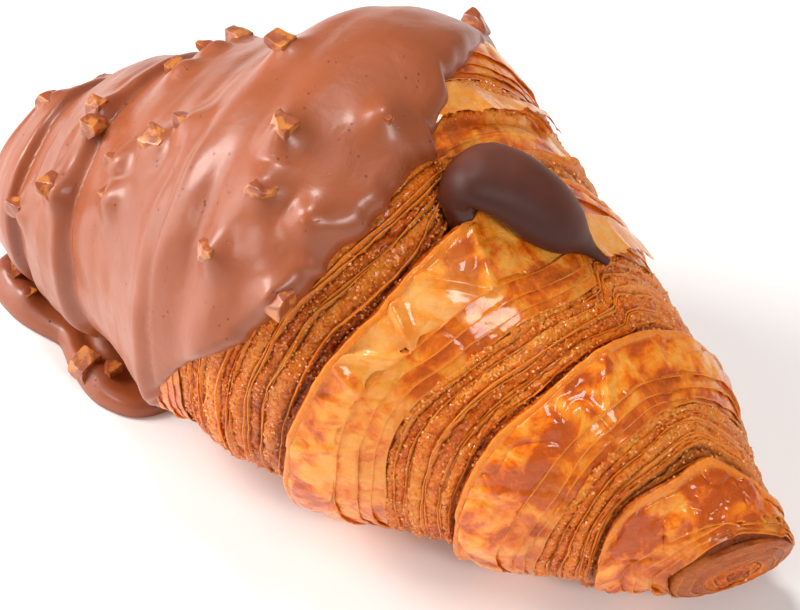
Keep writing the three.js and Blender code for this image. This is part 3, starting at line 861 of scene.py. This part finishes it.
class Recipe:
    """A material being mixed: adds nodes and joins them up."""

    def __init__(self, name):
        self.material = bpy.data.materials.new(name)
        self.material.use_nodes = True
        self.tree = self.material.node_tree
        self.tree.nodes.clear()
        self.shader = self.add("ShaderNodeBsdfPrincipled")
        output = self.add("ShaderNodeOutputMaterial")
        self.tree.links.new(self.shader.outputs["BSDF"], output.inputs["Surface"])
        self.place = self.add("ShaderNodeTexCoord").outputs["Object"]

    def add(self, kind, **settings):
        return new_node(self.tree, kind, **settings)

    def feed(self, socket, value):
        if isinstance(value, bpy.types.NodeSocket):
            self.tree.links.new(value, socket)
        else:
            socket.default_value = value

    def set(self, **values):
        for name, value in values.items():
            self.feed(self.shader.inputs[name.replace("_", " ")], value)

    def mark(self, name):
        return self.add("ShaderNodeAttribute", attribute_name=name).outputs["Fac"]

    def speckle(self, size, detail=3.0, roughness=0.55, warp=0.0):
        node = self.add("ShaderNodeTexNoise")
        self.feed(node.inputs["Vector"], self.place)
        for name, value in (
            ("Scale", 1 / (size * MM)), ("Detail", detail), ("Roughness", roughness), ("Distortion", warp),
        ):
            node.inputs[name].default_value = value
        return node.outputs["Fac"]

    def cells(self, size, feature="F1"):
        node = self.add("ShaderNodeTexVoronoi", feature=feature)
        self.feed(node.inputs["Vector"], self.place)
        node.inputs["Scale"].default_value = 1 / (size * MM)
        return node.outputs["Distance"]

    def maths(self, operation, first, second=0.0, third=0.0):
        node = self.add("ShaderNodeMath", operation=operation)
        for socket, value in zip(node.inputs, (first, second, third)):
            self.feed(socket, value)
        return node.outputs[0]

    def spread(self, value, low, high, to_low=0.0, to_high=1.0):
        node = self.add("ShaderNodeMapRange", interpolation_type="SMOOTHSTEP")
        for name, given in (
            ("Value", value), ("From Min", low), ("From Max", high), ("To Min", to_low), ("To Max", to_high),
        ):
            self.feed(node.inputs[name], given)
        return node.outputs["Result"]

    def shades(self, value, *stops):
        node = self.add("ShaderNodeValToRGB")
        ramp = node.color_ramp
        while len(ramp.elements) < len(stops):
            ramp.elements.new(0.5)
        for element, (position, colour) in zip(ramp.elements, stops):
            element.position = position
            element.color = (*colour, 1.0)
        self.feed(node.inputs["Fac"], value)
        return node.outputs["Color"]

    def blend(self, share, first, second):
        node = self.add("ShaderNodeMix", data_type="RGBA")
        self.feed(node.inputs["Factor"], share)
        for socket, value in ((node.inputs[6], first), (node.inputs[7], second)):
            self.feed(socket, (*value, 1.0) if isinstance(value, tuple) else value)
        return node.outputs[2]

    def bump(self, height, depth, over=None, strength=1.0):
        node = self.add("ShaderNodeBump")
        node.inputs["Strength"].default_value = strength
        node.inputs["Distance"].default_value = depth * MM
        self.feed(node.inputs["Height"], height)
        if over is not None:
            self.feed(node.inputs["Normal"], over)
        return node.outputs["Normal"]


def baked_dough():
    mix = Recipe("baked_dough")
    skin, rim, crumb = mix.mark("skin"), mix.mark("rim"), mix.mark("crumb")
    depth, sheet, pale, toast = mix.mark("depth"), mix.mark("sheet"), mix.mark("pale"), mix.mark("toast")
    browned = mix.mark("browned")
    bake = mix.maths("MULTIPLY_ADD", mix.speckle(11, 2, 0.5), 0.65, -0.35)
    bake = mix.maths("MULTIPLY_ADD", mix.speckle(4.6, 5, 0.58, 0.5), 1.05, bake)
    bake = mix.maths("ADD", bake, mix.maths("MULTIPLY_ADD", browned, -0.11, 0.08))
    glazed = mix.shades(
        bake,
        (0.40, (0.54, 0.074, 0.001)),
        (0.45, (0.72, 0.112, 0.001)),
        (0.49, (0.86, 0.170, 0.002)),
        (0.54, (0.94, 0.25, 0.010)),
        (0.62, (0.97, 0.38, 0.050)),
    )
    thin_crust = mix.shades(
        mix.speckle(4, 4, 0.6, 0.3),
        (0.35, (0.92, 0.26, 0.020)),
        (0.5, (0.97, 0.38, 0.068)),
        (0.65, (0.99, 0.50, 0.16)),
    )
    glazed = mix.blend(mix.maths("MULTIPLY", pale, 0.9), glazed, thin_crust)
    toasted = mix.shades(
        mix.speckle(4, 4, 0.6, 0.3),
        (0.35, (0.22, 0.040, 0.011)),
        (0.65, (0.33, 0.075, 0.022)),
    )
    glazed = mix.blend(toast, glazed, toasted)
    cut = mix.maths("MULTIPLY_ADD", mix.speckle(1.2, 4, 0.7), 0.7, -0.1)
    cut = mix.maths("ADD", cut, mix.maths("MULTIPLY", sheet, 0.22))
    cut = mix.maths("ADD", cut, mix.maths("MULTIPLY", mix.speckle(9, 2), 0.4))
    layered = mix.shades(
        cut,
        (0.34, (0.42, 0.046, 0.001)),
        (0.46, (0.70, 0.108, 0.002)),
        (0.58, (0.90, 0.185, 0.007)),
        (0.72, (0.98, 0.31, 0.030)),
    )
    colour = mix.blend(skin, layered, glazed)
    edge = mix.blend(mix.speckle(2.5, 3), (0.93, 0.23, 0.012), (0.98, 0.35, 0.045))
    colour = mix.blend(mix.maths("MULTIPLY", rim, 0.8), colour, edge)
    # Painted shade: the dough is painted near black where the depth mark says it lies low between layers.
    painted_groove_shade = mix.spread(depth, 0.20, 0.75)
    colour = mix.blend(mix.maths("MULTIPLY", painted_groove_shade, 0.85), colour, (0.22, 0.024, 0.001))
    # Painted glints: small bright orange specks on the cut dough stand in for sparkling highlights.
    painted_glints = mix.maths("MULTIPLY", mix.spread(mix.speckle(0.5, 2, 0.6), 0.58, 0.72), crumb)
    colour = mix.blend(mix.maths("MULTIPLY", painted_glints, 0.7), colour, (0.98, 0.52, 0.18))
    dull = mix.maths("MULTIPLY_ADD", crumb, 0.05, mix.maths("MULTIPLY_ADD", mix.speckle(3, 3), 0.3, 0.14))
    fine = mix.bump(mix.speckle(0.42, 3, 0.7), 0.45)
    bubbles = mix.spread(mix.cells(0.9, "SMOOTH_F1"), 0.15, 0.6, 1.0, 0.0)
    froth = mix.bump(bubbles, 0.4, over=fine)
    rough = mix.bump(mix.speckle(3.0, 4, 0.6, 0.5), 0.35, over=froth, strength=0.8)
    skin_bump = mix.bump(mix.speckle(2.2, 5, 0.65, 1.2), 0.42)
    sheen = mix.maths("MULTIPLY_ADD", skin, 0.25, 0.25)
    sheen = mix.maths("MULTIPLY", sheen, mix.maths("MULTIPLY_ADD", toast, -0.8, 1.0))
    normal = mix.add("ShaderNodeMix", data_type="VECTOR")
    mix.feed(normal.inputs["Factor"], mix.maths("MAXIMUM", skin, mix.maths("MULTIPLY", rim, 0.8)))
    mix.feed(normal.inputs[4], rough)
    mix.feed(normal.inputs[5], skin_bump)
    mix.set(
        Base_Color=colour,
        Roughness=dull,
        Normal=normal.outputs[1],
        Specular_IOR_Level=0.4,
        Specular_Tint=(1.0, 0.62, 0.28, 1.0),
        Subsurface_Weight=0.08,
        Subsurface_Radius=(1.0, 0.3, 0.08),
        Subsurface_Scale=0.0015,
        Coat_Weight=sheen,
        Coat_Roughness=0.10,
        Coat_IOR=1.55,
    )
    return mix.material


def crumb():
    mix = Recipe("crumb")
    mix.set(
        Base_Color=mix.shades(
            mix.speckle(0.7, 2),
            (0.35, (0.72, 0.17, 0.015)),
            (0.5, (0.88, 0.30, 0.045)),
            (0.65, (0.95, 0.46, 0.14)),
        ),
        Roughness=0.25,
        Specular_IOR_Level=0.3,
        Coat_Weight=0.7,
        Coat_Roughness=0.1,
    )
    return mix.material


def milk_chocolate():
    mix = Recipe("milk_chocolate")
    cloud = mix.speckle(22, 3, 0.5)
    colour = mix.shades(cloud, (0.35, (0.300, 0.066, 0.017)), (0.65, (0.360, 0.084, 0.023)))
    pits = mix.spread(mix.cells(1.5), 0.10, 0.16)
    rare = mix.spread(mix.speckle(5, 2), 0.52, 0.6)
    pits = mix.maths("MAXIMUM", pits, mix.maths("SUBTRACT", 1.0, rare))
    streaks = mix.bump(mix.speckle(6, 4, 0.5, 0.4), 0.45, strength=0.7)
    normal = mix.bump(pits, 0.3, over=streaks, strength=0.9)
    # Painted shade: the pinholes are painted darker in colour as well as dented by the bump.
    mix.set(
        Base_Color=mix.blend(mix.maths("MULTIPLY_ADD", pits, -0.5, 0.5), colour, (0.16, 0.035, 0.012)),
        Roughness=mix.spread(mix.speckle(9, 3), 0.3, 0.7, 0.38, 0.52),
        Specular_IOR_Level=0.5,
        Normal=normal,
        Subsurface_Weight=0.18,
        Subsurface_Radius=(1.0, 0.45, 0.3),
        Subsurface_Scale=0.0025,
        Coat_Weight=0.3,
        Coat_Roughness=0.20,
    )
    return mix.material


def nut_in_chocolate():
    mix = Recipe("nut_in_chocolate")
    bare = mix.spread(mix.mark("corner"), 0.55, 0.9)
    bare = mix.maths("MULTIPLY", bare, mix.spread(mix.speckle(2.4, 3, 0.6), 0.46, 0.60))
    coated = mix.shades(mix.speckle(6, 2), (0.35, (0.30, 0.066, 0.020)), (0.65, (0.36, 0.086, 0.028)))
    colour = mix.blend(bare, coated, (0.58, 0.19, 0.035))
    mix.set(
        Base_Color=colour,
        Roughness=0.3,
        Normal=mix.bump(mix.speckle(1.2, 3, 0.5), 0.15, strength=0.6),
        Subsurface_Weight=0.1,
        Subsurface_Radius=(1.0, 0.4, 0.15),
        Subsurface_Scale=0.002,
        Coat_Weight=0.3,
        Coat_Roughness=0.15,
    )
    return mix.material


def dark_chocolate():
    mix = Recipe("dark_chocolate")
    wet = mix.mark("wet")
    body = mix.shades(mix.speckle(8, 2), (0.3, (0.095, 0.022, 0.011)), (0.7, (0.140, 0.038, 0.021)))
    mix.set(
        # Painted shade: the filling is painted near black at its start in the slit and along its -Y side; the
        # start is also glossier.
        Base_Color=mix.blend(mix.maths("MAXIMUM", wet, mix.mark("dark")), body, (0.060, 0.012, 0.006)),
        Roughness=mix.maths("MULTIPLY_ADD", wet, -0.34, 0.54),
        Normal=mix.bump(mix.speckle(5, 2), 0.12, strength=0.5),
        Subsurface_Weight=0.05,
        Subsurface_Radius=(1.0, 0.3, 0.2),
        Subsurface_Scale=0.001,
        Specular_IOR_Level=0.35,
    )
    return mix.material


def white_board():
    mix = Recipe("white_board")
    mix.set(
        Base_Color=(0.95, 0.93, 0.92, 1.0),
        Roughness=0.8,
        Emission_Color=(1.0, 1.0, 1.0, 1.0),
        Emission_Strength=0.03,
    )
    return mix.material


# ---- The set ----------------------------------------------------------------------------------

LENS_FOCAL = 121.5
BOARD_SIZE, BOARD_DROP = 4.0, 0.0004
ROOM_LIGHT = 0.24
VIEW_AZIMUTH, VIEW_ELEVATION, VIEW_DISTANCE = 40.0, 46.5, 431.0
VIEW_TARGET = np.array([6.1, 0.0, 28.1])


def direction(azimuth, elevation):
    a, e = math.radians(azimuth), math.radians(elevation)
    return Vector((math.sin(a) * math.cos(e), -math.cos(a) * math.cos(e), math.sin(e)))


def aim(thing, from_point, at_point):
    thing.location = from_point
    thing.rotation_euler = (Vector(at_point) - Vector(from_point)).to_track_quat("-Z", "Y").to_euler()


def set_camera():
    lens = bpy.data.cameras.new("camera")
    lens.lens, lens.sensor_width, lens.clip_start, lens.clip_end = LENS_FOCAL, 36.0, 0.01, 20.0
    camera = bpy.data.objects.new("camera", lens)
    bpy.context.scene.collection.objects.link(camera)
    target = Vector((VIEW_TARGET + PLACE) * MM)
    aim(camera, target + direction(VIEW_AZIMUTH, VIEW_ELEVATION) * VIEW_DISTANCE * MM, target)
    bpy.context.scene.camera = camera


def soft_light(name, azimuth, elevation, distance, size, power, colour=(1, 1, 1)):
    lamp = bpy.data.lights.new(name, "AREA")
    lamp.shape, lamp.size, lamp.energy, lamp.color = "SQUARE", size, power, colour
    light = bpy.data.objects.new(name, lamp)
    bpy.context.scene.collection.objects.link(light)
    target = Vector((0, 0, 0.03))
    aim(light, target + direction(azimuth, elevation) * distance, target)


def set_board():
    bpy.ops.mesh.primitive_plane_add(size=BOARD_SIZE, location=(0, 0, -BOARD_DROP))
    board = bpy.context.object
    board.name = "board"
    board.data.materials.append(white_board())


def set_studio():
    scene = bpy.context.scene
    scene.view_settings.view_transform = "Standard"
    scene.view_settings.look = "None"
    world = bpy.data.worlds.new("studio")
    world.use_nodes = True
    world.node_tree.nodes["Background"].inputs["Color"].default_value = (1.0, 0.99, 0.98, 1.0)
    world.node_tree.nodes["Background"].inputs["Strength"].default_value = ROOM_LIGHT
    scene.world = world
    soft_light("window", 297, 38, 0.9, 0.34, 6.3, (1.0, 0.98, 0.95))
    soft_light("card", 304, 8, 0.8, 0.6, 3.6)
    soft_light("above", 245, 76, 1.0, 0.2, 4.2)
    soft_light("front", 345, 26, 1.0, 0.22, 1.3)
    soft_light("side", 75, 35, 1.0, 0.25, 3.5)


# ---- Making the croissant ---------------------------------------------------------------------

set_camera()
set_board()
set_studio()

dough, loose, milk = baked_dough(), crumb(), milk_chocolate()
shard, scatter = crumb_shard(), scatter_tree()
for turn in (5, 4, 3, 2, 1):
    strip = hand_over(dough_strip(turn, f"dough_turn_{turn}"), "pastry", dough)
    if turn < 5:
        hand_over(crumbs_on(strip, shard, scatter, 10 + turn, loose), "pastry", loose)
bpy.data.objects.remove(shard)
hand_over(end_face(), "pastry", dough)
for name, spec in FLAKES.items():
    hand_over(flake(name, spec), "pastry", dough)
hand_over(milk_chocolate_coat(), "milk_chocolate_coat", milk)
hand_over(milk_chocolate_puddle(), "milk_chocolate_coat", milk)
hand_over(dark_filling(), "dark_chocolate_filling", dark_chocolate())
nut_finish = nut_in_chocolate()
for number, node in enumerate(nut_nodes):
    hand_over(chopped_nut(node, number), node, nut_finish)
